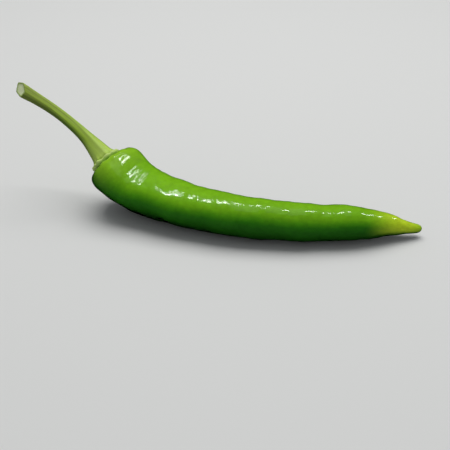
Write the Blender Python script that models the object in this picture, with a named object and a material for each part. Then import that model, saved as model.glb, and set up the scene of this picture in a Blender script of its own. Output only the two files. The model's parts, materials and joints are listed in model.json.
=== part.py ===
"""A long green chilli pepper, as picked, lying on a flat surface.

Two pieces: the pod, and the stem whose flared end is the calyx that sits on the pod's shoulder.
Metres, +Z up. +X runs along the pod from the calyx to the tip, and the origin is the middle of the
underside of the object's box, on the surface that it lies on.
"""

from math import atan2, cos, pi, radians, sin

import bmesh
import bpy
import numpy as np
from mathutils import Vector

# Pod, measured along its centreline from the calyx seat
POD_LENGTH = 0.1537
SHOULDER_RADIUS = 0.0135  # the widest place
SHOULDER_PLACE = 0.0080
SHOULDER_SQUARENESS = 3.3  # exponent of the rounding above it: 2 is a round dome, more is flatter
NECK_RADIUS = 0.0119
NECK_PLACE = 0.0198
WAIST_RADIUS = 0.0103  # where the neck has passed into the body
WAIST_PLACE = 0.0415
BODY_RADIUS = 0.0084  # the body thins slowly to this
BODY_FROM_TIP = 0.0500
CONE_RADIUS = 0.0072  # where the last cone begins
CONE_FROM_TIP = 0.0274
TIP_RADIUS = 0.0021
TIP_ROUND = 0.0030  # length of the blunt end
LOBE_COUNT = 3  # chambers inside, which swell the shoulder
LOBE_HEIGHT = 0.0017  # at the shoulder, fading along the body
LOBE_TURN = radians(44)
LOBE_REACH = 0.0950

# How the pod lies
POD_HEADING = radians(-25)  # where its calyx end points, seen from above
POD_BEND = radians(42)  # how far it turns sideways
BEND_START = -0.0100  # the stretch that it turns over
BEND_END = 0.1380
HOOK_LENGTH = 0.0245  # the neck that lifts the calyx off the surface
HOOK_ANGLE = radians(40)  # how steeply the calyx end rises
TIP_LIFT = 0.0012  # how far the tip stays off the surface
TIP_LIFT_LENGTH = 0.0380

# Calyx, the cap that the stem widens into
SEAT_GAP = 0.0003  # between it and the pod
CALYX_RADIUS = 0.0071
CALYX_RIM_THICKNESS = 0.0011
CALYX_RIM_PROFILE = ((0.55, 1.02), (1.0, 0.97), (1.15, 0.90))  # height / thickness, radius / CALYX_RADIUS
CALYX_CONE_RADIUS = 0.0056  # where the cone meets the rim
CALYX_WAIST_RADIUS = 0.0044  # halfway up the cone
CALYX_HEIGHT = 0.0150

# Stem, measured along its centreline from the calyx seat
STEM_LENGTH = 0.0538
STEM_TOP_RADIUS = 0.0031  # where the calyx cone passes into the stem
STEM_RADIUS = 0.00255
STEM_EASE = 0.0090  # from there to its thinnest
STEM_END_RADIUS = 0.0031  # the swollen end where it was cut
STEM_END_LENGTH = 0.0100
STEM_TURN = radians(44)  # sideways turn, the same way as the pod's
STEM_END_PITCH = radians(36)
CUT_SLANT = radians(24)  # how far the cut leans from square
CUT_HEADING = radians(-112)  # which way the cut face looks, seen from above
CUT_BACK = 0.0016  # from the stem's last ring back to the middle of the cut
STEM_LEAD = 0.0050  # how far its centreline is carried back into the pod
RIDGE_COUNT = 5
RIDGE_HEIGHT = 0.055  # share of the radius

# Fineness
POD_SEGMENTS = 40
POD_STEP = 0.0036
SHOULDER_RINGS = 9
TIP_RINGS = 5
STEM_SEGMENTS = 30
STEM_STEP = 0.0024
SEAT_RINGS = 4
WALK_STEP = 0.0005  # between the points of a centreline
SHARP_ANGLE = radians(40)

UP = Vector((0, 0, 1))


def ease(t):
    """0 to 1 with level ends."""
    t = min(max(t, 0.0), 1.0)
    return t * t * (3 - 2 * t)


def through(stations, at):
    """Smooth value at one distance, through (distance, value) stations."""
    along, values = (np.array(column) for column in zip(*stations))
    slopes = np.gradient(values, along)
    i = int(np.clip(np.searchsorted(along, at) - 1, 0, len(along) - 2))
    gap = along[i + 1] - along[i]
    t = float(np.clip((at - along[i]) / gap, 0, 1))
    leaving = t * (1 - t) ** 2 * gap * slopes[i]
    arriving = t * t * (t - 1) * gap * slopes[i + 1]
    return float(values[i] + (values[i + 1] - values[i]) * ease(t) + leaving + arriving)


def pod_radius(s):
    """Radius of the pod at distance s from the calyx seat, before its two ends are rounded off."""
    body_place = POD_LENGTH - BODY_FROM_TIP
    return through(
        (
            (0.0, SHOULDER_RADIUS),
            (SHOULDER_PLACE, SHOULDER_RADIUS),
            (NECK_PLACE, NECK_RADIUS),
            (WAIST_PLACE, WAIST_RADIUS),
            ((WAIST_PLACE + body_place) / 2, (WAIST_RADIUS + BODY_RADIUS) / 2),
            (body_place, BODY_RADIUS),
            (POD_LENGTH - CONE_FROM_TIP, CONE_RADIUS),
            (POD_LENGTH - TIP_ROUND, TIP_RADIUS),
        ),
        s,
    )


def pod_height(s):
    """Height of the centreline: the underside lies on the surface all the way from the hook to the tip."""
    hook = HOOK_LENGTH * sin(HOOK_ANGLE) / 2 * max(0.0, 1 - s / HOOK_LENGTH) ** 2
    tip = TIP_LIFT * ease((s - POD_LENGTH + TIP_LIFT_LENGTH) / TIP_LIFT_LENGTH)
    return pod_radius(s) + hook + tip


def walk(start, length, heading_at, rise_at):
    """Points every WALK_STEP along a line with that heading and rise (the sine of its pitch)."""
    points = [start]
    for i in range(round(length / WALK_STEP)):
        s = (i + 0.5) * WALK_STEP
        rise = rise_at(s)
        level = (1 - rise * rise) ** 0.5
        heading = heading_at(s)
        step = Vector((level * cos(heading), level * sin(heading), rise))
        points.append(points[-1] + step * WALK_STEP)
    return points


def pod_centreline():
    def heading_at(s):
        return POD_HEADING + POD_BEND * ease((s - BEND_START) / (BEND_END - BEND_START))

    def rise_at(s):
        return (pod_height(s + WALK_STEP / 2) - pod_height(s - WALK_STEP / 2)) / WALK_STEP

    return walk(Vector((0, 0, pod_height(0))), POD_LENGTH, heading_at, rise_at)


def stem_centreline(pod_line):
    """The stem leaves in line with the pod's calyx end, STEM_LEAD along, and turns as it rises."""
    away = (pod_line[0] - pod_line[1]).normalized()

    def heading_at(s):
        return atan2(away.y, away.x) + STEM_TURN * ease(s / STEM_LENGTH)

    def rise_at(s):
        return away.z + (sin(STEM_END_PITCH) - away.z) * ease(s / STEM_LENGTH)

    lead = pod_line[round(STEM_LEAD / WALK_STEP) : 0 : -1]
    return lead + walk(pod_line[0], STEM_LENGTH, heading_at, rise_at)


def point_on(line, s):
    """Point at distance s along the line, which goes straight on past its two ends."""
    place = s / WALK_STEP
    i = min(max(int(place), 0), len(line) - 2)
    return line[i].lerp(line[i + 1], place - i)


def frame_on(line, s):
    """(point, sideways, upward) of a ring square to the line at distance s along it."""
    tangent = (point_on(line, s + WALK_STEP) - point_on(line, s - WALK_STEP)).normalized()
    side = UP.cross(tangent).normalized()
    return point_on(line, s), side, tangent.cross(side)


def ring(line, s, radius_at, segments):
    """Points of a ring square to the line, its radius given by the angle around it."""
    point, side, upward = frame_on(line, s)
    angles = [2 * pi * k / segments for k in range(segments)]
    return [point + (side * cos(a) + upward * sin(a)) * radius_at(a) for a in angles]


def loft(name, rings, first_pole, last_pole, material):
    """A closed object from rings of equal count, each end drawn to a point."""
    mesh = bmesh.new()
    rows = [[mesh.verts.new(point) for point in points] for points in rings]
    count = len(rows[0])
    for row, following in zip(rows, rows[1:]):
        for k in range(count):
            n = (k + 1) % count
            mesh.faces.new((row[k], row[n], following[n], following[k]))
    for pole, row in ((first_pole, rows[0]), (last_pole, rows[-1])):
        centre = mesh.verts.new(pole)
        for k in range(count):
            mesh.faces.new((centre, row[k], row[(k + 1) % count]))
    bmesh.ops.recalc_face_normals(mesh, faces=mesh.faces)
    data = bpy.data.meshes.new(name)
    mesh.to_mesh(data)
    mesh.free()
    data.shade_smooth()
    data.set_sharp_from_angle(angle=SHARP_ANGLE)
    data.materials.append(material)
    made = bpy.data.objects.new(name, data)
    bpy.context.scene.collection.objects.link(made)
    return made


def shoulder_drop(radius):
    """How far the pod's shoulder falls below its seat at that distance from the axis."""
    share = min(radius / SHOULDER_RADIUS, 1.0) ** SHOULDER_SQUARENESS
    return SHOULDER_PLACE * (1 - (1 - share) ** (1 / SHOULDER_SQUARENESS))


def lobed(radius, s):
    """Ring radius with lobes that rise over the shoulder and fade along the body."""
    height = LOBE_HEIGHT * ease(s / SHOULDER_PLACE) * (1 - ease(s / LOBE_REACH))
    return lambda a: radius + height * cos(LOBE_COUNT * (a - LOBE_TURN))


def build_pod(line, material):
    sections = []  # distance from the seat, radius
    for i in range(1, SHOULDER_RINGS + 1):
        radius = SHOULDER_RADIUS * sin(pi / 2 * i / SHOULDER_RINGS) ** (2 / SHOULDER_SQUARENESS)
        sections.append((shoulder_drop(radius), radius))
    body = POD_LENGTH - SHOULDER_PLACE - TIP_ROUND
    count = round(body / POD_STEP)
    for i in range(1, count + 1):
        s = SHOULDER_PLACE + body * i / count
        sections.append((s, pod_radius(s)))
    for i in range(1, TIP_RINGS):
        quarter = pi / 2 * i / TIP_RINGS
        sections.append((POD_LENGTH - TIP_ROUND * (1 - sin(quarter)), TIP_RADIUS * cos(quarter)))
    rings = [ring(line, s, lobed(radius, s), POD_SEGMENTS) for s, radius in sections]
    return loft("pod", rings, line[0], line[-1], material)


def stem_radius(s):
    """Radius of the calyx cone and the stem at distance s from the seat."""
    return through(
        (
            (CALYX_RIM_THICKNESS, CALYX_CONE_RADIUS),
            (CALYX_HEIGHT / 2, CALYX_WAIST_RADIUS),
            (CALYX_HEIGHT, STEM_TOP_RADIUS),
            (CALYX_HEIGHT + STEM_EASE, STEM_RADIUS),
            (STEM_LENGTH - STEM_END_LENGTH, STEM_RADIUS),
            (STEM_LENGTH, STEM_END_RADIUS),
        ),
        s,
    )


def ridged(radius, share):
    """Ring radius with a share of the height of the stem's long ridges."""
    return lambda a: radius * (1 + RIDGE_HEIGHT * share * cos(RIDGE_COUNT * a))


def build_stem(line, material):
    sections = []  # distance from the seat, radius, share of the ridges' height
    for i in range(1, SEAT_RINGS + 1):  # underside, which follows the pod's shoulder
        radius = CALYX_RADIUS * i / SEAT_RINGS
        sections.append((SEAT_GAP - shoulder_drop(radius), radius, (i / SEAT_RINGS) ** 4 / 2))
    edge = SEAT_GAP - shoulder_drop(CALYX_RADIUS)
    for rise, reach in CALYX_RIM_PROFILE:
        sections.append((edge + CALYX_RIM_THICKNESS * rise, CALYX_RADIUS * reach, 0.5))
    foot = SEAT_GAP + CALYX_RIM_THICKNESS
    count = round((STEM_LENGTH - foot) / STEM_STEP)
    for i in range(count + 1):
        s = foot + (STEM_LENGTH - foot) * i / count
        sections.append((s, stem_radius(s), 1.0))
    rings = [ring(line, STEM_LEAD + s, ridged(r, share), STEM_SEGMENTS) for s, r, share in sections]
    seat = point_on(line, STEM_LEAD + SEAT_GAP)
    return cut_end(loft("stem_and_calyx", rings, seat, line[-1], material), line)


def cut_end(stem, line):
    """Cuts the stem's end on a slant and closes it with one flat face."""
    end, side, upward = frame_on(line, STEM_LEAD + STEM_LENGTH)
    along = side.cross(upward)
    looking = Vector((cos(CUT_HEADING), sin(CUT_HEADING), 0))
    across = (looking - along * looking.dot(along)).normalized()
    normal = along * cos(CUT_SLANT) + across * sin(CUT_SLANT)
    mesh = bmesh.new()
    mesh.from_mesh(stem.data)
    everything = mesh.verts[:] + mesh.edges[:] + mesh.faces[:]
    place = end - along * CUT_BACK
    cut = bmesh.ops.bisect_plane(mesh, geom=everything, plane_co=place, plane_no=normal, clear_outer=True)
    rim = [part for part in cut["geom_cut"] if isinstance(part, bmesh.types.BMEdge)]
    bmesh.ops.contextual_create(mesh, geom=rim)
    bmesh.ops.recalc_face_normals(mesh, faces=mesh.faces)
    mesh.to_mesh(stem.data)
    mesh.free()
    stem.data.set_sharp_from_angle(angle=SHARP_ANGLE)
    return stem


def plant_skin(name, colour, roughness):
    material = bpy.data.materials.new(name)
    material.use_nodes = True
    shader = material.node_tree.nodes["Principled BSDF"]
    shader.inputs["Base Color"].default_value = (*colour, 1)
    shader.inputs["Roughness"].default_value = roughness
    shader.inputs["Metallic"].default_value = 0.0
    return material


def lay_down(pieces):
    """Parents the pieces to an empty that puts the middle of their box's underside on the origin."""
    place = bpy.data.objects.new("resting_place", None)
    bpy.context.scene.collection.objects.link(place)
    points = np.array([vertex.co for piece in pieces for vertex in piece.data.vertices])
    low = points.min(axis=0)
    middle = (low + points.max(axis=0)) / 2
    place.location = (-middle[0], -middle[1], -low[2])
    for piece in pieces:
        piece.parent = place


def main():
    for old in list(bpy.data.objects):
        bpy.data.objects.remove(old)
    pod_line = pod_centreline()
    pod = build_pod(pod_line, plant_skin("glossy_green_skin", (0.10, 0.34, 0.02), 0.25))
    stem = build_stem(stem_centreline(pod_line), plant_skin("pale_green_stem", (0.33, 0.50, 0.08), 0.5))
    lay_down([pod, stem])


main()
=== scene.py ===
import json
import random
from math import cos, pi, radians, sin, tau

import bpy
import numpy as np
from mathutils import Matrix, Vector

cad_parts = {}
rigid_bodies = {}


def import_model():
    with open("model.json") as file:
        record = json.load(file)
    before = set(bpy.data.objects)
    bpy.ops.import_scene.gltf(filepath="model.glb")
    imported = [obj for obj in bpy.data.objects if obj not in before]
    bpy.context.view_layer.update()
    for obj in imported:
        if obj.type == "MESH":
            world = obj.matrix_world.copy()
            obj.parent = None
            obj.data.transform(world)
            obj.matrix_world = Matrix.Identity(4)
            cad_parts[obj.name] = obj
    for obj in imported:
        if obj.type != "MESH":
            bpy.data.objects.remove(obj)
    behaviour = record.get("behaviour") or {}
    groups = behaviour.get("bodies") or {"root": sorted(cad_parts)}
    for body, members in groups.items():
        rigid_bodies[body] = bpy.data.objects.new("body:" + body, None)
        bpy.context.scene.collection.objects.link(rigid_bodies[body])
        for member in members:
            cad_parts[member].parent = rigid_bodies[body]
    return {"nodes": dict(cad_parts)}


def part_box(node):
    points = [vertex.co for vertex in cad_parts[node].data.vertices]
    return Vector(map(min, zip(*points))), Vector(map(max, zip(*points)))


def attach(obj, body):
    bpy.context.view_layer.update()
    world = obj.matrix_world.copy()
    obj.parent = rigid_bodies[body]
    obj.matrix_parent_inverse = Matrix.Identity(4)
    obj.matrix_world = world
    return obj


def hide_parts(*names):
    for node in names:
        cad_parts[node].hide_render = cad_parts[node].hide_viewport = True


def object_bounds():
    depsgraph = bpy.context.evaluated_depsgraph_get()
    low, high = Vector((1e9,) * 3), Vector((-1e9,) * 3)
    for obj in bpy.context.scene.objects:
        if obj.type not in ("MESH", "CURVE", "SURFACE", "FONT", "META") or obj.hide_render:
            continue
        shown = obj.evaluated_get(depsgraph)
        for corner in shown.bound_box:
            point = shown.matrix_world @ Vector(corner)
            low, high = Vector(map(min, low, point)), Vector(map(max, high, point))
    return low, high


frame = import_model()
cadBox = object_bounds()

mm = 0.001


# modelling tools

def deselectAll():
    if bpy.context.object and bpy.context.object.mode != "OBJECT":
        bpy.ops.object.mode_set(mode="OBJECT")
    bpy.ops.object.select_all(action="DESELECT")


def makeActive(piece):
    deselectAll()
    piece.select_set(True)
    bpy.context.view_layer.objects.active = piece


def pointsOf(piece):
    points = np.empty(len(piece.data.vertices) * 3, np.float32)
    piece.data.vertices.foreach_get("co", points)
    return points.reshape(-1, 3).astype(float)


def editChosen(piece, chosen):  # edit mode, with just these vertices selected
    makeActive(piece)
    bpy.ops.object.mode_set(mode="EDIT")
    bpy.ops.mesh.select_mode(type="VERT")
    bpy.ops.mesh.select_all(action="DESELECT")
    bpy.ops.object.mode_set(mode="OBJECT")
    piece.data.vertices.foreach_set("select", np.asarray(chosen, bool))
    bpy.ops.object.mode_set(mode="EDIT")


def finishWith(piece, kind, **settings):
    makeActive(piece)
    bpy.ops.object.modifier_add(type=kind)
    added = piece.modifiers[-1]
    for name, value in settings.items():
        setattr(added, name, value)
    bpy.ops.object.modifier_apply(modifier=added.name)


def subdivide(piece, levels):
    finishWith(piece, "SUBSURF", levels=levels, render_levels=levels)


def weightGroup(piece, amounts):
    group = piece.vertex_groups.new(name="weights")
    for i, amount in enumerate(amounts):
        group.add([i], float(amount), "REPLACE")
    return group


def pressOut(piece, heights):  # moves each vertex along its normal by its height
    for way in (1, -1):  # what goes out, then what goes in
        part = np.maximum(heights * way, 0)
        group = weightGroup(piece, part / part.max())
        finishWith(piece, "DISPLACE", vertex_group=group.name, strength=way * part.max(),
                   mid_level=0)
        piece.vertex_groups.remove(piece.vertex_groups[0])


def ease(t):  # from 0 to 1, slow at both ends
    t = np.clip(t, 0, 1)
    return t * t * (3 - 2 * t)


def straightTube(name, rings, segments):  # rings: (place along X, radius)
    # a circle extruded along X from ring to ring, and drawn in or out at each
    deselectAll()
    bpy.ops.mesh.primitive_circle_add(vertices=segments, radius=rings[0][1],
                                      location=(rings[0][0], 0, 0), rotation=(0, pi / 2, 0))
    tube = bpy.context.object
    tube.name = tube.data.name = name
    bpy.ops.object.transform_apply(location=True, rotation=True, scale=True)
    bpy.ops.object.mode_set(mode="EDIT")
    bpy.ops.mesh.select_all(action="SELECT")
    for (place, radius), (nextPlace, nextRadius) in zip(rings, rings[1:]):
        step = (nextPlace - place, 0, 0)
        bpy.ops.mesh.extrude_region_move(TRANSFORM_OT_translate={"value": step})
        grow = nextRadius / radius
        bpy.ops.transform.resize(value=(1, grow, grow), center_override=(nextPlace, 0, 0))
    bpy.ops.object.mode_set(mode="OBJECT")
    return tube


def mergePole(piece, ring, segments):  # ring: 0 for the first, -1 for the last
    count = len(piece.data.vertices)
    first = 0 if ring == 0 else count - segments
    chosen = np.zeros(count, bool)
    chosen[first:first + segments] = True
    editChosen(piece, chosen)
    bpy.ops.mesh.merge(type="CENTER")
    bpy.ops.object.mode_set(mode="OBJECT")


def turnOutwards(piece):
    editChosen(piece, np.ones(len(piece.data.vertices)))
    bpy.ops.mesh.normals_make_consistent(inside=False)
    bpy.ops.object.mode_set(mode="OBJECT")


patternRadius = 10 * mm  # the attribute "grown" lies on a tube of this radius


def keepGrown(piece):
    # "grown" keeps the place along a straight piece and the direction around it, once it bends
    points = pointsOf(piece)
    out = np.linalg.norm(points[:, 1:], axis=1)
    around = points[:, 1:] / np.maximum(out, 1e-9)[:, None] * patternRadius
    values = np.column_stack([points[:, 0], around]).astype(np.float32)
    grown = piece.data.attributes.new("grown", "FLOAT_VECTOR", "POINT")
    grown.data.foreach_set("vector", values.ravel())


def grownOf(piece):
    values = np.empty(len(piece.data.vertices) * 3, np.float32)
    piece.data.attributes["grown"].data.foreach_get("vector", values)
    values = values.reshape(-1, 3).astype(float)
    return values[:, 0], np.arctan2(values[:, 2], values[:, 1])


# where the CAD pieces run: the centres and radii of their sections

def cornersOf(node):
    mesh = frame["nodes"][node].data
    points = np.array([v.co for v in mesh.vertices])
    return points[np.array([p.vertices[:] for p in mesh.polygons])]


def sectionOf(corners, point, normal, reach):
    heights = (corners - point) @ normal
    found = []
    for i, j in ((0, 1), (1, 2), (2, 0)):
        crossing = heights[:, i] * heights[:, j] < 0
        a, b = corners[crossing, i], corners[crossing, j]
        share = heights[crossing, i] / (heights[crossing, i] - heights[crossing, j])
        found.append(a + (b - a) * share[:, None])
    found = np.concatenate(found)
    return found[np.linalg.norm(found - point, axis=1) < reach]


def centreLine(node, step=1.5 * mm, mostSteps=120):
    # walks both ways from the middle of the node's box, and ends at its two poles
    corners = cornersOf(node)
    reach = lineOf[node]["reach"]
    low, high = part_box(node)
    direction = np.array(lineOf[node]["towards"], float)
    direction /= np.linalg.norm(direction)
    middle = sectionOf(corners, np.array((low + high) / 2), direction, 3 * reach).mean(0)
    halves = []
    for way, endShare in zip((1, -1), lineOf[node]["endShares"]):
        centres, toward, widest = [middle], direction * way, 0
        while len(centres) < mostSteps:
            crossing = sectionOf(corners, centres[-1] + toward * step, toward, reach)
            if len(crossing) < 6:
                break
            centre = crossing.mean(0)
            width = np.linalg.norm(crossing - centre, axis=1).mean()
            widest = max(widest, width)
            if width < widest * endShare:
                break
            centres.append(centre)
            chord = centre - centres[max(len(centres) - 4, 0)]
            toward = chord / np.linalg.norm(chord)
        near = corners.reshape(-1, 3)
        near = near[np.linalg.norm(near - centres[-1], axis=1) < reach]
        centres.append(centres[-1] + toward * ((near - centres[-1]) @ toward).max())
        halves.append(centres)
    return np.array(halves[1][::-1] + halves[0][1:])


def lengthsAlong(line):
    return np.concatenate([[0], np.cumsum(np.linalg.norm(np.diff(line, axis=0), axis=1))])


def radiusAt(node, line, place):
    along = lengthsAlong(line)
    point, ahead, behind = (
        np.array([np.interp(place + shift, along, line[:, k]) for k in range(3)])
        for shift in (0, 2 * mm, -2 * mm)
    )
    normal = (ahead - behind) / np.linalg.norm(ahead - behind)
    crossing = sectionOf(cornersOf(node), point, normal, lineOf[node]["reach"])
    return np.linalg.norm(crossing - crossing.mean(0), axis=1).mean()


def bendAlong(piece, line, every):
    # bends a straight piece along a smooth curve through every few centres of the line
    through = np.vstack([line[:-1:every], line[-1:]])
    data = bpy.data.curves.new("guide", "CURVE")
    data.dimensions, data.twist_mode, data.resolution_u = "3D", "Z_UP", 32
    spline = data.splines.new("BEZIER")
    spline.bezier_points.add(len(through) - 1)
    for knot, place in zip(spline.bezier_points, through):
        knot.co = place
        knot.handle_left_type = knot.handle_right_type = "AUTO"
    guide = bpy.data.objects.new("guide", data)
    bpy.context.scene.collection.objects.link(guide)
    finishWith(piece, "CURVE", object=guide, deform_axis="POS_X")
    bpy.data.objects.remove(guide)


def cutPlane(node, line):
    # the flat cut at the line's end: the direction that most of the area near the end faces
    corners = cornersOf(node)
    corners = corners[np.linalg.norm(corners.mean(1) - line[-1], axis=1) < 5 * mm]
    across = np.cross(corners[:, 1] - corners[:, 0], corners[:, 2] - corners[:, 0])
    area = np.linalg.norm(across, axis=1) / 2
    facing = across / (2 * area)[:, None]
    outward = line[-1] - line[-4]
    area = area * (facing @ outward > 0.6 * np.linalg.norm(outward))  # not the stem's sides
    alike = facing @ facing.T > 0.9995  # within 2 degrees
    best = np.argmax(alike @ area)
    flat = alike[best]
    centre = (corners[flat].mean(1) * area[flat, None]).sum(0) / area[flat].sum()
    return centre, facing[best]


# reach: how far from the line a section may lie; the shares say where the line stops at each end,
# once a section is that much narrower than the widest one
lineOf = {
    "pod": {"towards": (1, 0, 0), "reach": 21 * mm, "endShares": (0.3, 0.88)},
    "stem_and_calyx": {"towards": (-1, 0, 0.7), "reach": 11 * mm, "endShares": (0.94, 0.3)},
}

podLine = centreLine("pod")
podLength = lengthsAlong(podLine)[-1]
stemLine = centreLine("stem_and_calyx")
cutCentre, cutFacing = cutPlane("stem_and_calyx", stemLine)
stemLine = np.vstack([stemLine[:-3], cutCentre])
stemLength = lengthsAlong(stemLine)[-1]
print(f"centre lines: pod {podLength / mm:.1f} mm, stem {stemLength / mm:.1f} mm")


# material tools

def fromHex(code):  # sRGB hex to linear
    values = [int(code[i:i + 2], 16) / 255 for i in (1, 3, 5)]
    return [v / 12.92 if v <= 0.04045 else ((v + 0.055) / 1.055) ** 2.4 for v in values] + [1]


def addNode(tree, kind, settings=(), values=(), links=(), stops=()):
    node = tree.nodes.new(kind)
    for name, value in dict(settings).items():
        setattr(node, name, value)
    for name, value in dict(values).items():
        node.inputs[name].default_value = value
    for name, source in dict(links).items():
        tree.links.new(source, node.inputs[name])
    while stops and len(node.color_ramp.elements) < len(stops):
        node.color_ramp.elements.new(1)
    for element, (place, code) in zip(node.color_ramp.elements if stops else (), stops):
        element.position = place
        element.color = fromHex(code)
    return node


def newMaterial(name):
    material = bpy.data.materials.new(name)
    material.use_nodes = True
    material.node_tree.nodes.clear()
    return material, material.node_tree


# pod: waxy green fruit

podPlan = {
    "segments": 24, "ringGap": 4 * mm,
    "endRings": (0.05, 0.3, 0.8, 1.6, 2.6, 4, 6, 9, 12.5, 16),  # mm from either pole
    "flatShares": (0.02, 0.35, 0.7), "tipShares": (0.6, 0.05),  # rings between those and the poles
    "bendEvery": 5,
    "offset": 0.1 * mm,  # the cage stands off this far, because smoothing draws it in
    "puckers": 13, "puckerHeight": 0.5 * mm, "puckerReach": 15 * mm,  # folds beside the calyx
    "seatDepth": 0.25 * mm, "seatRadius": 2 * mm, "seatFade": 4 * mm,  # hollow under the calyx
    "sunk": 0.05 * mm,  # the whole skin, to make room for the swells
    "swells": ((26, 0.13), (17, 0.1), (11, 0.08)),  # mm long, mm high
    "ripples": ((6.5, 0.04), (5.2, 0.03), (4.4, 0.02)),
    "shoulderCalm": 14 * mm, "tipCalm": 8 * mm,  # the skin is smoother this near either end
    "seed": 11,

    # painted light and shade: the green is paler on top and darker underneath, as light falls from
    # above; from underneath (0) to the top (1)
    "paintedShadeStops": ((0.0, "#13430C"), (0.28, "#194F0C"), (0.4, "#1D5D0C"), (0.51, "#22690B"),
                    (0.62, "#2E7C0C"), (0.72, "#4F9A0F"), (0.82, "#70B114"), (1.0, "#7DBB18")),
    "drift": 0.09, "driftSize": 16 * mm,  # how far the tones wander, as a share of the height
    "mottle": 0.13, "mottleSize": 2.6 * mm,
    # each patch of riper skin, and painted light, as it is kept to the upper side: its tone and
    # share, where it fades in along the pod (from the tip or the calyx), and where around it, as a
    # share of the height
    "tipTone": "#CDE62C", "tipShare": 0.85,
    "tipFade": (30 * mm, 10 * mm), "tipHeight": (0.22, 0.58),
    "tipEnd": 9 * mm, "tipEndShare": 0.45,  # greener again at the very end
    "shoulderTone": "#A0CB30", "shoulderShare": 0.55,
    "shoulderFade": (20 * mm, 2 * mm), "shoulderHeight": (0.42, 0.78),
    "roughness": 0.35, "specular": 0.12, "coat": 1.0, "coatRoughness": 0.05,
    "creaseSize": 1.3 * mm, "creaseDepth": 0.12 * mm, "waxDepth": 0.045 * mm,
    "grainSize": 0.45 * mm, "grainDepth": 0.008 * mm,
}


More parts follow.
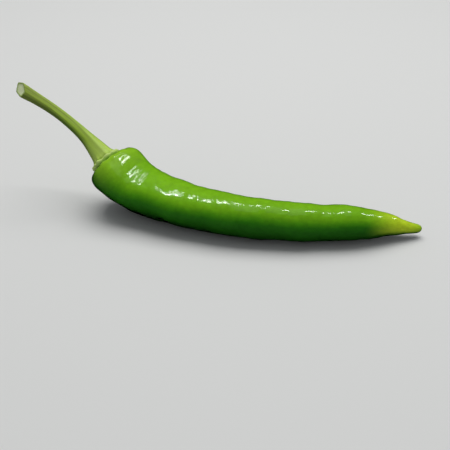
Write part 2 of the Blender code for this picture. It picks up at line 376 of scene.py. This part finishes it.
def podMaterial():
    # waxed pepper skin: a smooth cuticle over crisp flesh, so a clear gloss lies over the green,
    # broken by shallow creases that ruffle the edges of each highlight
    look = podPlan
    material, tree = newMaterial("waxedPepperSkin")
    grown = addNode(tree, "ShaderNodeAttribute", {"attribute_name": "grown"}).outputs["Vector"]
    parts = addNode(tree, "ShaderNodeSeparateXYZ", links={"Vector": grown})
    along = parts.outputs["X"]
    up = addNode(tree, "ShaderNodeMapRange", links={"Value": parts.outputs["Z"]},
                 values={"From Min": -patternRadius, "From Max": patternRadius})
    drift = addNode(tree, "ShaderNodeTexNoise", links={"Vector": grown},
                    values={"Scale": 1 / look["driftSize"], "Detail": 2})
    wander = addNode(tree, "ShaderNodeMath", {"operation": "MULTIPLY_ADD"},
                     {1: 2 * look["drift"], 2: -look["drift"]}, {0: drift.outputs["Fac"]})
    lifted = addNode(tree, "ShaderNodeMath", {"operation": "ADD"},
                     links={0: up.outputs["Result"], 1: wander.outputs["Value"]})
    # painted light and shade: the tone follows how high on the section the skin is, lighter on top,
    # darker underneath
    tone = addNode(tree, "ShaderNodeValToRGB", links={"Fac": lifted.outputs["Value"]},
                   stops=look["paintedShadeStops"])

    # riper, yellower skin behind the tip and around the calyx, and painted light: both patches keep
    # to the upper side, where the light falls
    towardTip = addNode(tree, "ShaderNodeMapRange", {"interpolation_type": "SMOOTHSTEP"},
                        {"From Min": podLength - look["tipFade"][0],
                         "From Max": podLength - look["tipFade"][1]}, {"Value": along})
    tipLit = addNode(tree, "ShaderNodeMapRange", {"interpolation_type": "SMOOTHSTEP"},
                     {"From Min": look["tipHeight"][0], "From Max": look["tipHeight"][1]},
                     {"Value": lifted.outputs["Value"]})
    beforeTip = addNode(tree, "ShaderNodeMapRange", {"interpolation_type": "SMOOTHSTEP"},
                        {"From Min": podLength, "From Max": podLength - look["tipEnd"],
                         "To Min": look["tipEndShare"]}, {"Value": along})
    tipPlace = addNode(tree, "ShaderNodeMath", {"operation": "MULTIPLY"},
                       links={0: towardTip.outputs["Result"], 1: beforeTip.outputs["Result"]})
    tipMask = addNode(tree, "ShaderNodeMath", {"operation": "MULTIPLY"},
                      links={0: tipPlace.outputs["Value"], 1: tipLit.outputs["Result"]})
    tipShare = addNode(tree, "ShaderNodeMath", {"operation": "MULTIPLY"}, {1: look["tipShare"]},
                       {0: tipMask.outputs["Value"]})
    ripeAndLitTip = addNode(tree, "ShaderNodeMix", {"data_type": "RGBA"}, {7: fromHex(look["tipTone"])},
                      {0: tipShare.outputs["Value"], 6: tone.outputs["Color"]})
    towardCalyx = addNode(tree, "ShaderNodeMapRange", {"interpolation_type": "SMOOTHSTEP"},
                          {"From Min": look["shoulderFade"][0], "From Max": look["shoulderFade"][1],
                           "To Max": look["shoulderShare"]}, {"Value": along})
    shoulderLit = addNode(tree, "ShaderNodeMapRange", {"interpolation_type": "SMOOTHSTEP"},
                          {"From Min": look["shoulderHeight"][0],
                           "From Max": look["shoulderHeight"][1]},
                          {"Value": lifted.outputs["Value"]})
    calyxMask = addNode(tree, "ShaderNodeMath", {"operation": "MULTIPLY"},
                        links={0: towardCalyx.outputs["Result"],
                               1: shoulderLit.outputs["Result"]})
    ripeAndLitSkin = addNode(tree, "ShaderNodeMix", {"data_type": "RGBA"}, {7: fromHex(look["shoulderTone"])},
                   {0: calyxMask.outputs["Value"], 6: ripeAndLitTip.outputs[2]})

    # mottling in the flesh under the skin
    mottle = addNode(tree, "ShaderNodeTexNoise", links={"Vector": grown},
                     values={"Scale": 1 / look["mottleSize"], "Detail": 3, "Roughness": 0.6})
    shade = addNode(tree, "ShaderNodeMapRange", links={"Value": mottle.outputs["Fac"]},
                    values={"From Min": 0.25, "From Max": 0.75, "To Min": 1 - look["mottle"],
                            "To Max": 1 + look["mottle"]})
    colour = addNode(tree, "ShaderNodeVectorMath", {"operation": "SCALE"},
                     links={0: ripeAndLitSkin.outputs[2], "Scale": shade.outputs["Result"]})

    # creases run across the pod and show less in the wax over them; the grain is the skin's
    # cells, drawn coarse enough to show
    across = addNode(tree, "ShaderNodeMapping", values={"Scale": (1, 0.5, 0.5)},
                     links={"Vector": grown})
    crease = addNode(tree, "ShaderNodeTexNoise", links={"Vector": across.outputs["Vector"]},
                     values={"Scale": 1 / look["creaseSize"], "Detail": 2, "Roughness": 0.5,
                             "Distortion": 0.6})
    grain = addNode(tree, "ShaderNodeTexNoise", links={"Vector": grown},
                    values={"Scale": 1 / look["grainSize"], "Detail": 1})
    creased = addNode(tree, "ShaderNodeBump", links={"Height": crease.outputs["Fac"]},
                      values={"Strength": 1, "Distance": look["creaseDepth"]})
    grained = addNode(tree, "ShaderNodeBump",
                      values={"Strength": 1, "Distance": look["grainDepth"]},
                      links={"Height": grain.outputs["Fac"], "Normal": creased.outputs["Normal"]})
    waxed = addNode(tree, "ShaderNodeBump", links={"Height": crease.outputs["Fac"]},
                    values={"Strength": 1, "Distance": look["waxDepth"]})
    shader = addNode(tree, "ShaderNodeBsdfPrincipled",
                     values={"Roughness": look["roughness"], "Specular IOR Level": look["specular"],
                             "Coat Weight": look["coat"], "Coat Roughness": look["coatRoughness"]},
                     links={"Base Color": colour.outputs["Vector"],
                            "Normal": grained.outputs["Normal"],
                            "Coat Normal": waxed.outputs["Normal"]})
    addNode(tree, "ShaderNodeOutputMaterial", links={"Surface": shader.outputs["BSDF"]})
    return material


def buildPod():
    shape = podPlan
    ends = np.array(shape["endRings"]) * mm
    middle = np.linspace(ends[-1], podLength - ends[-1],
                         round((podLength - 2 * ends[-1]) / shape["ringGap"]) + 1)
    places = np.concatenate([ends[1:-1], middle, podLength - ends[-2:0:-1]])
    rings = [(place, radiusAt("pod", podLine, place)) for place in places]
    first, last = rings[0], rings[-1]
    flat = [(first[0] * share, first[1] * share) for share in shape["flatShares"]]
    tip = [(podLength - (podLength - last[0]) * share, last[1] * share)
           for share in shape["tipShares"]]
    rings = flat + rings + tip
    pod = straightTube("podSkin", rings, shape["segments"])
    mergePole(pod, -1, shape["segments"])
    mergePole(pod, 0, shape["segments"])
    turnOutwards(pod)
    keepGrown(pod)
    bendAlong(pod, podLine, shape["bendEvery"])
    finishWith(pod, "SHRINKWRAP", target=frame["nodes"]["pod"], wrap_method="NEAREST_SURFACEPOINT",
               wrap_mode="ABOVE_SURFACE", offset=shape["offset"])
    subdivide(pod, 2)
    along, around = grownOf(pod)
    dice = random.Random(shape["seed"])
    heights = np.zeros(len(along))
    for longest, height in shape["swells"]:
        for turns in (0, 1, 2, 3):
            wave = tau / (longest * mm * dice.uniform(0.85, 1.15)) * dice.choice((-1, 1))
            phase = wave * along + turns * around + dice.uniform(0, tau)
            heights += height * mm / 2 * np.sin(phase)
    for longest, height in shape["ripples"]:
        for turns in (-3, -1, 1, 3):
            wave = tau / (longest * mm * dice.uniform(0.9, 1.1))
            phase = wave * along + turns * around + dice.uniform(0, tau)
            heights += height * mm / 2 * np.sin(phase)
    heights *= ease(along / shape["shoulderCalm"]) * 0.7 + 0.3

    # folds of uneven width and depth
    uneven = 0.8 * np.sin(3 * around + 1) + 0.9 * np.sin(2 * around)
    fold = np.cos(shape["puckers"] * around + uneven)
    fold *= 0.75 + 0.25 * np.cos(5 * around + 0.6)
    heights += shape["puckerHeight"] * (fold / 2 - 0.5) * (1 - ease(along / shape["puckerReach"]))
    seatFade = ease((along - shape["seatRadius"]) / shape["seatFade"])
    heights -= shape["seatDepth"] * (1 - seatFade)
    calm = ease((podLength - along) / shape["tipCalm"])
    pressOut(pod, (heights - shape["sunk"]) * calm)
    pod.data.materials.append(podMaterial())
    makeActive(pod)
    bpy.ops.object.shade_smooth()
    return pod


pod = buildPod()
print("pod", len(pod.data.polygons), "faces")


# stem and calyx: ridged stem that widens into a cap with a thin crinkled rim

stemPlan = {
    "segments": 60,
    "rim": ((0.02, -0.02), (0.35, -0.02), (0.7, -0.02), (0.96, 0.0), (1.04, 0.25), (1.07, 0.7),
            (1.06, 1.15), (1.01, 1.5), (0.94, 1.58), (0.87, 1.4), (0.815, 0.95), (0.785, 1.0),
            (0.8, 1.5), (0.815, 2.1), (0.8, 2.7)),  # shares of the rim's radius, mm up from the pod
    "rimPlace": 0.6 * mm, "rimTop": 1.6 * mm,  # where the rim is measured, and how far up it goes
    "coneStart": 3.6 * mm, "ringGap": 2.2 * mm, "bendEvery": 3,
    "ridges": 5, "ridgeTurn": radians(20), "ridgeHeight": 0.34 * mm, "grooveDepth": 0.2 * mm,
    "knobHeight": 0.35 * mm, "knobPlace": 2.1 * mm, "knobReach": 1.5 * mm,  # at the cone's foot
    "scallops": 12, "scallopHeight": 0.6 * mm, "ruffle": 0.22 * mm,
    "endFlare": 0.1, "flareReach": 7 * mm,
    "beyondCut": 6 * mm,  # the tube runs on this far, and is cut back to the slant
    "steady": 4 * mm,  # this near the cut the CAD's sections are slanted, so none is measured
    "cutTurn": (0.06, -0.3, 0.15), "cutBack": 0.5 * mm,  # from the CAD's cut
    "underside": 0.05 * mm,  # its gap to the pod
    # share of the ring before, how deep, which material
    "cutRings": ((0.93, -0.05 * mm, 0), (0.97, 0.04 * mm, 1), (0.82, 0.05 * mm, 1),
                 (0.96, 0.1 * mm, 2), (0.5, 0.04 * mm, 2)),

    # painted light and shade: paler on top, darker underneath, from underneath (0) to the top (1)
    "paintedShadeStops": ((0.0, "#4A6814"), (0.35, "#63851C"), (0.55, "#86A82C"), (0.8, "#A5C640"),
                    (1.0, "#B0CE54")),
    "drift": 0.12, "driftSize": 5 * mm,
    # where each tone fades in, along the stem from the pod
    "endTone": "#8B8F3E", "endShare": 0.45, "endFade": 20 * mm,
    "calyxTone": "#BEDC62", "calyxShare": 0.75, "calyxFade": (17 * mm, 4 * mm),
    "rimTone": "#C6DE7C", "rimFade": (1.65 * mm, 1.3 * mm),
    "grooveShade": 0.78, "fibreShades": (0.86, 1.12),
    "fibreSize": 0.5 * mm, "fibreLength": 9 * mm, "fibreDepth": 0.03 * mm,
    "roughness": 0.42, "specular": 0.35, "coat": 0.12, "coatRoughness": 0.25,
    "fleshTones": ("#BDD184", "#AFC673", "#9DB65F"), "pithTones": ("#F3FBD6", "#EAF5C0", "#D8E8A2"),
    "cellSize": 0.35 * mm, "cellDepth": 0.05 * mm, "cutRoughness": 0.6, "cutSpecular": 0.3,
}


def stemMaterial():
    # green stem: a fibrous stalk with a thin dull skin, so it scatters light softly, with fine
    # lengthways fibres, painted shade in the grooves and underneath, painted light on top, and
    # paler tissue where it spreads over the pod
    look = stemPlan
    material, tree = newMaterial("fibrousStemSkin")
    grown = addNode(tree, "ShaderNodeAttribute", {"attribute_name": "grown"}).outputs["Vector"]
    parts = addNode(tree, "ShaderNodeSeparateXYZ", links={"Vector": grown})
    along = parts.outputs["X"]
    up = addNode(tree, "ShaderNodeMapRange", links={"Value": parts.outputs["Z"]},
                 values={"From Min": -patternRadius, "From Max": patternRadius})
    fibreSpace = addNode(tree, "ShaderNodeMapping", links={"Vector": grown},
                         values={"Scale": (look["fibreSize"] / look["fibreLength"], 0.35, 0.35)})
    fibre = addNode(tree, "ShaderNodeTexNoise", links={"Vector": fibreSpace.outputs["Vector"]},
                    values={"Scale": 1 / look["fibreSize"], "Detail": 3})
    blotch = addNode(tree, "ShaderNodeTexNoise", links={"Vector": grown},
                     values={"Scale": 1 / look["driftSize"], "Detail": 2})
    wander = addNode(tree, "ShaderNodeMath", {"operation": "MULTIPLY_ADD"},
                     {1: 2 * look["drift"], 2: -look["drift"]}, {0: blotch.outputs["Fac"]})
    lifted = addNode(tree, "ShaderNodeMath", {"operation": "ADD"},
                     links={0: up.outputs["Result"], 1: wander.outputs["Value"]})
    # painted light and shade: lighter on top, darker underneath
    tone = addNode(tree, "ShaderNodeValToRGB", links={"Fac": lifted.outputs["Value"]},
                   stops=look["paintedShadeStops"])
    towardEnd = addNode(tree, "ShaderNodeMapRange", {"interpolation_type": "SMOOTHSTEP"},
                        {"From Min": look["endFade"], "From Max": stemLength,
                         "To Max": look["endShare"]},
                        {"Value": along})
    older = addNode(tree, "ShaderNodeMix", {"data_type": "RGBA"}, {7: fromHex(look["endTone"])},
                    {0: towardEnd.outputs["Result"], 6: tone.outputs["Color"]})
    towardCalyx = addNode(tree, "ShaderNodeMapRange", {"interpolation_type": "SMOOTHSTEP"},
                          {"From Min": look["calyxFade"][0], "From Max": look["calyxFade"][1],
                           "To Max": look["calyxShare"]}, {"Value": along})
    younger = addNode(tree, "ShaderNodeMix", {"data_type": "RGBA"}, {7: fromHex(look["calyxTone"])},
                      {0: towardCalyx.outputs["Result"], 6: older.outputs[2]})

    # painted shade: darker along the grooves
    turn = addNode(tree, "ShaderNodeMath", {"operation": "ARCTAN2"},
                   links={0: parts.outputs["Z"], 1: parts.outputs["Y"]})
    phase = addNode(tree, "ShaderNodeMath", {"operation": "MULTIPLY_ADD"},
                    {1: look["ridges"], 2: -look["ridges"] * look["ridgeTurn"]},
                    {0: turn.outputs["Value"]})
    wave = addNode(tree, "ShaderNodeMath", {"operation": "COSINE"},
                   links={0: phase.outputs["Value"]})
    groove = addNode(tree, "ShaderNodeMapRange", {"interpolation_type": "SMOOTHSTEP"},
                     {"From Min": -0.9, "From Max": 0.3, "To Min": look["grooveShade"]},
                     {"Value": wave.outputs["Value"]})
    fibreShade = addNode(tree, "ShaderNodeMapRange", links={"Value": fibre.outputs["Fac"]},
                         values={"From Min": 0.3, "From Max": 0.7,
                                 "To Min": look["fibreShades"][0],
                                 "To Max": look["fibreShades"][1]})
    shade = addNode(tree, "ShaderNodeMath", {"operation": "MULTIPLY"},
                    links={0: groove.outputs["Result"], 1: fibreShade.outputs["Result"]})
    shaded = addNode(tree, "ShaderNodeVectorMath", {"operation": "SCALE"},
                     links={0: younger.outputs[2], "Scale": shade.outputs["Value"]})
    onRim = addNode(tree, "ShaderNodeMapRange", {"interpolation_type": "SMOOTHSTEP"},
                    {"From Min": look["rimFade"][0], "From Max": look["rimFade"][1]},
                    {"Value": along})
    colour = addNode(tree, "ShaderNodeMix", {"data_type": "RGBA"}, {7: fromHex(look["rimTone"])},
                     {0: onRim.outputs["Result"], 6: shaded.outputs["Vector"]})
    bump = addNode(tree, "ShaderNodeBump", values={"Strength": 1, "Distance": look["fibreDepth"]},
                   links={"Height": fibre.outputs["Fac"]})
    shader = addNode(tree, "ShaderNodeBsdfPrincipled",
                     values={"Roughness": look["roughness"], "Specular IOR Level": look["specular"],
                             "Coat Weight": look["coat"], "Coat Roughness": look["coatRoughness"]},
                     links={"Base Color": colour.outputs[2], "Normal": bump.outputs["Normal"]})
    addNode(tree, "ShaderNodeOutputMaterial", links={"Surface": shader.outputs["BSDF"]})
    return material


def cutMaterial(name, tones):
    # freshly cut stem: moist spongy tissue, so it is pale, dull and finely pitted
    look = stemPlan
    material, tree = newMaterial(name)
    place = addNode(tree, "ShaderNodeTexCoord").outputs["Object"]
    cells = addNode(tree, "ShaderNodeTexVoronoi", links={"Vector": place},
                    values={"Scale": 1 / look["cellSize"]})
    tone = addNode(tree, "ShaderNodeValToRGB", links={"Fac": cells.outputs["Distance"]},
                   stops=tuple(zip((0.0, 0.6, 1.0), tones)))
    bump = addNode(tree, "ShaderNodeBump", values={"Strength": 0.8, "Distance": look["cellDepth"]},
                   links={"Height": cells.outputs["Distance"]})
    shader = addNode(tree, "ShaderNodeBsdfPrincipled",
                     values={"Roughness": look["cutRoughness"],
                             "Specular IOR Level": look["cutSpecular"]},
                     links={"Base Color": tone.outputs["Color"], "Normal": bump.outputs["Normal"]})
    addNode(tree, "ShaderNodeOutputMaterial", links={"Surface": shader.outputs["BSDF"]})
    return material


def buildStem():
    shape = stemPlan
    rimRadius = radiusAt("stem_and_calyx", stemLine, shape["rimPlace"])
    rings = [(up * mm, rimRadius * share) for share, up in shape["rim"]]
    end = stemLength + shape["beyondCut"]
    count = round((end - shape["coneStart"]) / shape["ringGap"])
    for place in np.linspace(shape["coneStart"], end, count + 1):
        inside = min(place, stemLength - shape["steady"])
        flare = 1 + shape["endFlare"] * ease((place - stemLength) / shape["flareReach"] + 1)
        rings.append((place, flare * radiusAt("stem_and_calyx", stemLine, inside)))
    stem = straightTube("stemAndCalyx", rings, shape["segments"])
    mergePole(stem, 0, shape["segments"])
    stem.data.materials.append(stemMaterial())
    stem.data.materials.append(cutMaterial("cutFlesh", shape["fleshTones"]))
    stem.data.materials.append(cutMaterial("cutPith", shape["pithTones"]))
    points = pointsOf(stem)
    along, around = points[:, 0], np.arctan2(points[:, 2], points[:, 1])
    out = np.linalg.norm(points[:, 1:], axis=1)
    keepGrown(stem)

    # ridges run down the stem and end as knobs at the foot of the cone
    wave = np.cos(shape["ridges"] * (around - shape["ridgeTurn"]))
    ridge = np.where(wave > 0, shape["ridgeHeight"], -shape["grooveDepth"]) * wave ** 2
    fade = 0.45 + 0.55 * ease((along / mm - 12) / 12)
    onCone = (along > 0.98 * mm) & (out < 0.83 * rimRadius)
    heights = ridge * fade * onCone
    knobs = np.cos(15 * (around - shape["ridgeTurn"])) * 0.5 + np.cos(10 * around + 1) * 0.5
    foot = np.clip(1 - abs(along - shape["knobPlace"]) / shape["knobReach"], 0, 1) * onCone
    heights += shape["knobHeight"] * knobs * foot

    # scallops around the rim, and a ruffle up and down
    onRim = ease((out / rimRadius - 0.88) / 0.1) * (along < shape["rimTop"])
    scallop = abs(np.cos(shape["scallops"] / 2 * around + 0.5 * np.sin(4 * around))) ** 0.7
    scallop = scallop - 0.5 + 0.35 * np.cos(5 * (around - shape["ridgeTurn"]))
    heights += shape["scallopHeight"] * scallop * onRim
    turnOutwards(stem)
    pressOut(stem, heights)
    ruffle = np.cos(shape["scallops"] * around + 2 * np.sin(3 * around))
    for chosen, way in ((ruffle > 0.3, 1), (ruffle < -0.4, -1)):
        editChosen(stem, chosen & (onRim > 0) & (along > 1.1 * mm))
        bpy.ops.transform.translate(value=(way * shape["ruffle"], 0, 0))
        bpy.ops.object.mode_set(mode="OBJECT")
    bendAlong(stem, stemLine, shape["bendEvery"])
    turnOutwards(stem)

    # the underside follows the pod's shoulder
    group = weightGroup(stem, along < 0.1 * mm)
    finishWith(stem, "SHRINKWRAP", target=pod, wrap_method="NEAREST_SURFACEPOINT",
               wrap_mode="ABOVE_SURFACE", offset=shape["underside"], vertex_group=group.name)
    stem.vertex_groups.remove(stem.vertex_groups[0])
    subdivide(stem, 2)

    # slanted cut across the end, with a ring of flesh around the pith
    facing = cutFacing + shape["cutTurn"]
    facing /= np.linalg.norm(facing)
    centre = cutCentre - cutFacing * shape["cutBack"]
    editChosen(stem, np.ones(len(stem.data.vertices)))
    bpy.ops.mesh.bisect(plane_co=centre, plane_no=facing, use_fill=True, clear_outer=True)
    bpy.ops.mesh.select_mode(type="FACE")
    bpy.ops.mesh.select_all(action="DESELECT")
    bpy.ops.object.mode_set(mode="OBJECT")
    max(stem.data.polygons, key=lambda face: len(face.vertices)).select = True
    bpy.ops.object.mode_set(mode="EDIT")
    for share, sink, slot in shape["cutRings"]:
        bpy.ops.mesh.extrude_region_move(TRANSFORM_OT_translate={"value": facing * -sink})
        bpy.ops.transform.resize(value=(share, share, share), center_override=centre)
        bpy.ops.mesh.select_more()
        stem.active_material_index = slot
        bpy.ops.object.material_slot_assign()
        bpy.ops.mesh.select_less()
    bpy.ops.mesh.poke()
    bpy.ops.object.mode_set(mode="OBJECT")
    makeActive(stem)
    bpy.ops.object.shade_smooth()
    return stem


stem = buildStem()
print("stem and calyx", len(stem.data.polygons), "faces")


# both pieces onto the floor, and onto the CAD's one body

def settle(pieces, lowest):  # down onto the surface, all by the same amount
    for piece in pieces:
        editChosen(piece, np.ones(len(piece.data.vertices)))
        bpy.ops.transform.translate(value=(0, 0, -lowest))
        bpy.ops.object.mode_set(mode="OBJECT")


settle((pod, stem), pointsOf(pod)[:, 2].min())
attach(pod, "root")
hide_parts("pod")
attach(stem, "root")
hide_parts("stem_and_calyx")
print("both pieces settled on the floor")


# floor, light and camera

stage = {
    "floorColour": "#DCDCDA", "floorSize": 6, "floorRoughness": 0.7,
    "worldColour": "#E9EDF0", "worldStrength": 0.33,
}


def floorMaterial():  # matt paper: pale, and without a gloss of its own
    material, tree = newMaterial("paleFloor")
    shader = addNode(tree, "ShaderNodeBsdfPrincipled",
                     values={"Roughness": stage["floorRoughness"],
                             "Base Color": fromHex(stage["floorColour"])})
    addNode(tree, "ShaderNodeOutputMaterial", links={"Surface": shader.outputs["BSDF"]})
    return material


deselectAll()
bpy.ops.mesh.primitive_plane_add(size=stage["floorSize"])
floor = bpy.context.object
floor.name = "floor"
floor.data.materials.append(floorMaterial())
floor.visible_glossy = False  # the skin mirrors neither the floor nor the world

world = bpy.data.worlds.new("studio")
world.use_nodes = True
background = world.node_tree.nodes["Background"]
background.inputs["Color"].default_value = fromHex(stage["worldColour"])
background.inputs["Strength"].default_value = stage["worldStrength"]
world.cycles_visibility.glossy = False
bpy.context.scene.world = world
bpy.context.scene.view_settings.view_transform = "Standard"

view = {"azimuth": radians(11.69), "elevation": radians(32), "lens": 62, "distance": 0.3565,
        "aim": (6.22 * mm, -0.96 * mm, 0)}  # aim: on the floor, from the middle of the box
middle = Vector([(low + high) / 2 for low, high in zip(*cadBox)])
middle.z = cadBox[0][2]
aim = middle + Vector(view["aim"])
camera = bpy.data.objects.new("camera", bpy.data.cameras.new("camera"))
camera.data.lens, camera.data.sensor_width = view["lens"], 36
camera.data.clip_start = 0.01
toCamera = Vector((sin(view["azimuth"]) * cos(view["elevation"]),
                   -cos(view["azimuth"]) * cos(view["elevation"]), sin(view["elevation"])))
camera.location = aim + toCamera * view["distance"]
camera.rotation_euler = (-toCamera).to_track_quat("-Z", "Y").to_euler()
bpy.context.scene.collection.objects.link(camera)
bpy.context.scene.camera = camera


# mirrored: the skin shows the lamp itself; onlyMirrored: the lamp gives no other light
def addSoftbox(name, place, aim, width, depth, watts, mirrored=True, onlyMirrored=False):
    data = bpy.data.lights.new(name, "AREA")
    data.shape, data.size, data.size_y, data.energy = "RECTANGLE", width, depth, watts
    light = bpy.data.objects.new(name, data)
    light.location = place
    light.visible_glossy, light.visible_diffuse = mirrored, not onlyMirrored
    light.rotation_euler = (Vector(aim) - Vector(place)).to_track_quat("-Z", "Y").to_euler()
    bpy.context.scene.collection.objects.link(light)


softboxes = {  # both aim at the middle of the floor
    "key": {"place": (0.0, 0.35, 1.0), "width": 1.1, "depth": 0.8, "watts": 9.6, "mirrored": False},
    "sheen": {"place": (0.05, 0.02, 0.8), "width": 0.6, "depth": 0.3, "watts": 0.2},
}
for name, softbox in softboxes.items():
    addSoftbox(f"{name}Softbox", aim=(0, 0, 0), **softbox)

# small lamps, each set where the skin mirrors it to the camera
glints = {
    # how far along the pod in mm, degrees from its top, lamp's width in mm
    "spots": ((28, 22, 10), (43.5, 33, 12), (56.3, 31, 16), (67.1, 25, 18), (73.5, 24, 14),
              (109, 28, 40), (127, 25, 40)),
    "distance": 0.6, "depth": 0.1, "wattsPerArea": 62,
    "patch": 2.5 * mm,  # the skin this near the spot gives the direction
}
podPoints = pointsOf(pod)
podNormals = np.array([v.normal for v in pod.data.vertices])
along, around = grownOf(pod)
for number, (place, lean, width) in enumerate(glints["spots"]):
    nearest = np.argmin(abs(along - place * mm) + abs(around - radians(90 + lean)) * patternRadius)
    point = podPoints[nearest]
    near = np.linalg.norm(podPoints - point, axis=1) < glints["patch"]
    normal = Vector(podNormals[near].mean(0)).normalized()
    sight = (camera.location - Vector(point)).normalized()
    mirrored = 2 * normal.dot(sight) * normal - sight
    addSoftbox(f"glintLamp{number + 1}", Vector(point) + mirrored * glints["distance"], point,
               width * mm, glints["depth"], glints["wattsPerArea"] * width * mm * glints["depth"],
               onlyMirrored=True)
print("stage and camera set")
